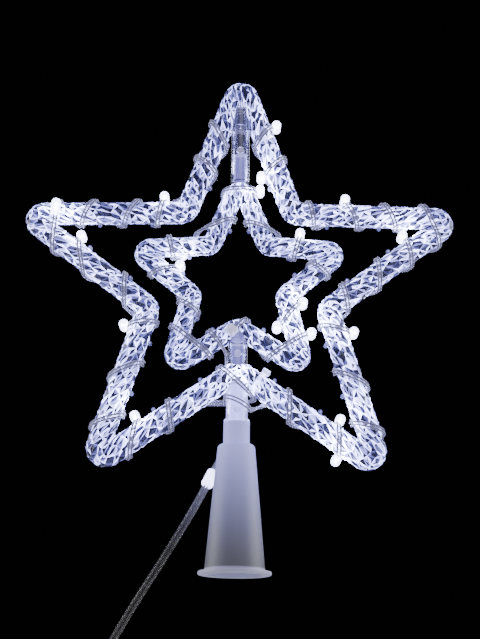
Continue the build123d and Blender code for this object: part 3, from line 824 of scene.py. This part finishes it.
# Lead: the cable that brings power to the string, from the bottom notch down behind the cone.
# It is the same clear flex as the string, thicker, and limp enough to hang.
# The spare length is wound in a flat coil, a layer at a time, and tied.
lead_radius = 0.00205
lead_core_radius = 0.00045
lead_core_offset = 0.0009
lead_exit = left_run[0][0]
lead_route = (
    (-0.0070, 0.0210, 0.1067), (-0.0022, 0.0300, 0.0985), (-0.0016, 0.0300, 0.0860),
    (-0.0020, 0.0270, 0.0740), (-0.0085, 0.0210, 0.0620), (-0.0205, 0.0187, 0.0370),
    (-0.0370, 0.0180, 0.0086), (-0.0498, 0.0180, -0.0120), (-0.0600, 0.0180, -0.0300),
    (-0.0680, 0.0180, -0.0460), (-0.0680, 0.0180, -0.0620),
)
coil_gap = 0.0011
coil_mean_radius = 0.022
coil_layers = 4
coil_layer_turns = 1.875
coil_climb_turns = 0.5
coil_points_per_turn = 16
coil_tail = 0.012
coil_pitch = 2 * lead_radius + coil_gap
coil_swing = coil_pitch * coil_layer_turns
coil_outer_radius = coil_mean_radius + coil_swing / 2
coil_start = Vector(lead_route[-1]) - Vector((0, 0, 2 * lead_radius))
coil_centre = coil_start + Vector((coil_outer_radius, 0, 0))
coil_turns = coil_layers * coil_layer_turns + (coil_layers - 1) * coil_climb_turns


# A point of the coil: each layer winds inward or outward, then climbs to the next
def coil_point(turns):
    layer_period = coil_layer_turns + coil_climb_turns
    layer = min(int(turns / layer_period), coil_layers - 1)
    within = turns - layer * layer_period
    swing = coil_pitch * min(within, coil_layer_turns)
    climb = max(0, within - coil_layer_turns) / coil_climb_turns
    radius = coil_outer_radius - (coil_swing - swing if layer % 2 else swing)
    angle = math.pi + 2 * math.pi * turns
    around = Vector((math.cos(angle), 0, math.sin(angle)))
    return coil_centre + around * radius + depth_way * coil_pitch * (layer + climb)


coil_steps = round(coil_turns * coil_points_per_turn)
coil_points = [coil_point(step / coil_points_per_turn) for step in range(coil_steps + 1)]
tail_end = coil_points[-1] - Vector((0, 0, coil_tail))
lead_points = [lead_exit, *[Vector(point) for point in lead_route], *coil_points, tail_end]


# The lead, or a core in it, along the route's smooth line, thick by its points' radius
def lead_curve(name, shift, radius):
    curve = bpy.data.curves.new(name, "CURVE")
    curve.dimensions = "3D"
    curve.bevel_depth = 1.0
    curve.bevel_resolution = 3
    curve.resolution_u = 8
    curve.use_fill_caps = True
    spline = curve.splines.new("NURBS")
    spline.points.add(len(lead_points) - 1)
    for knot, point in zip(spline.points, lead_points):
        knot.co = (*(point + shift), 1.0)
        knot.radius = radius
    spline.order_u = 3
    spline.use_endpoint_u = True
    piece = add_piece(name, curve)
    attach(piece, "star")
    return piece


# A painted glow on the lead, rising towards the lights in the star above
lead_lit_low = 0.010
lead_lit_span = 0.045
lead_painted_glow_dim = (0.004, 0.004, 0.005, 1.0)
lead_painted_glow = (0.55, 0.55, 1.0, 1.0)
lead_alpha = 0.12
lead_haze = 0.06
lead_finish = Finish("clear_lead_sleeve", IOR=1.5, Coat_Weight=0.8, Emission_Strength=1.0)
lead_cloud = lead_finish.mottle(
    120.0, 2.0, (0.20, 0.20, 0.24, 1.0), (0.34, 0.34, 0.40, 1.0), smooth=0.06, rough=0.1,
)
lead_painted_glow_rise = ((lead_finish.height() - lead_lit_low) / lead_lit_span).clamped()
lead_finish.feed(
    Emission_Color=lead_finish.blend(lead_painted_glow_rise * lead_painted_glow_rise, lead_painted_glow_dim, lead_painted_glow),
    Alpha=lead_alpha + lead_haze * lead_cloud,
)
lead_core_finish = Finish("tinned_copper_core", Metallic=0.5)
lead_core_finish.mottle(
    260.0, 1.0, (0.05, 0.045, 0.04, 1.0), (0.13, 0.12, 0.105, 1.0), smooth=0.3, rough=0.25,
)
lead = lead_curve("lead", Vector(), lead_radius)
lead_finish.cover(lead)
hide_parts("lead_cable", "lead_coil")
for hand, shift in (("left", -lead_core_offset), ("right", lead_core_offset)):
    lead_core = lead_curve(f"lead_{hand}_core", Vector((shift, 0, 0)), lead_core_radius)
    lead_core_finish.cover(lead_core)


# Strap and connector: they keep the coil together and join the lead to its supply.
# The strap is a nylon band closed round the coil's lowest turns.
# The connector is a moulded white body on the lead's end, with two brass pins.
strap_finish = Finish("nylon_strap", Coat_Weight=0.1)
strap_finish.mottle(
    500.0, 2.0, (0.72, 0.72, 0.76, 1.0), (0.86, 0.86, 0.90, 1.0), smooth=0.4, rough=0.2,
)
strap_finish.cover(nodes["coil_strap"])
connector_finish = Finish("moulded_connector", Coat_Weight=0.2)
connector_grain_depth = 0.00004
connector_grain = connector_finish.mottle(
    260.0, 3.0, (0.76, 0.76, 0.80, 1.0), (0.88, 0.88, 0.92, 1.0), smooth=0.3, rough=0.2,
)
connector_finish.bump(connector_grain, connector_grain_depth)
connector_finish.cover(nodes["connector_body"])
contact_finish = Finish("brass_contact", Metallic=1.0)
contact_finish.mottle(
    700.0, 3.0, (0.55, 0.42, 0.18, 1.0), (0.85, 0.70, 0.38, 1.0), smooth=0.2, rough=0.25,
)
contact_finish.cover(nodes["connector_pins"])
tuple(lead_exit)


# Floor, light and camera: a pale floor in a dark studio, with soft light from four sides.
# The floor lies just under the hanging connector, and the camera looks up from below the star.
# The lamps don't show through the clear column.
floor_drop = 0.002
floor_size = 8.0
floor_finish = Finish("pale_floor", Roughness=0.9)
floor_mottle = floor_finish.noise(3.0, 2.0)
floor_finish.feed(
    Base_Color=floor_finish.blend(floor_mottle, (0.74, 0.73, 0.75, 1.0), (0.78, 0.77, 0.79, 1.0))
)
bpy.ops.mesh.primitive_plane_add(size=floor_size, location=(0, 0, cad_box[0][2] - floor_drop))
floor = bpy.context.object
floor.name = "floor"
floor_finish.cover(floor)

world = bpy.data.worlds.new("studio")
world.use_nodes = True
backdrop = world.node_tree.nodes["Background"]
backdrop.inputs["Color"].default_value = (0.0008, 0.0008, 0.001, 1.0)
backdrop.inputs["Strength"].default_value = 1.0
bpy.context.scene.world = world

lamp_size = 0.8
lamp_places = (
    ("left", Vector((-1.0, 0.05, 0.35)), 7.0), ("right", Vector((1.0, 0.05, 0.35)), 8.0),
    ("front", Vector((0.1, -1.1, 0.7)), 3.0), ("rear", Vector((0.1, 1.0, 0.8)), 4.0),
)
for lamp_name, lamp_place, lamp_power in lamp_places:
    lamp = bpy.data.lights.new(lamp_name, "AREA")
    lamp.size = lamp_size
    lamp.energy = lamp_power
    holder = add_piece(lamp_name, lamp)
    holder.location = lamp_place
    holder.rotation_euler = (star_centre - lamp_place).to_track_quat("-Z", "Y").to_euler()
    holder.visible_transmission = False

camera_place = (0.001, -0.505, -0.0454)
camera_tilt = 19.5
camera_pitch = math.radians(90 + camera_tilt)
camera_roll = math.radians(0.77)
lens = bpy.data.cameras.new("camera")
lens.sensor_width = 36.0
lens.lens = 56.3
camera = add_piece("camera", lens)
camera_turn = Matrix.Rotation(camera_pitch, 4, "X") @ Matrix.Rotation(camera_roll, 4, "Z")
camera.matrix_world = Matrix.Translation(camera_place) @ camera_turn
bpy.context.scene.camera = camera
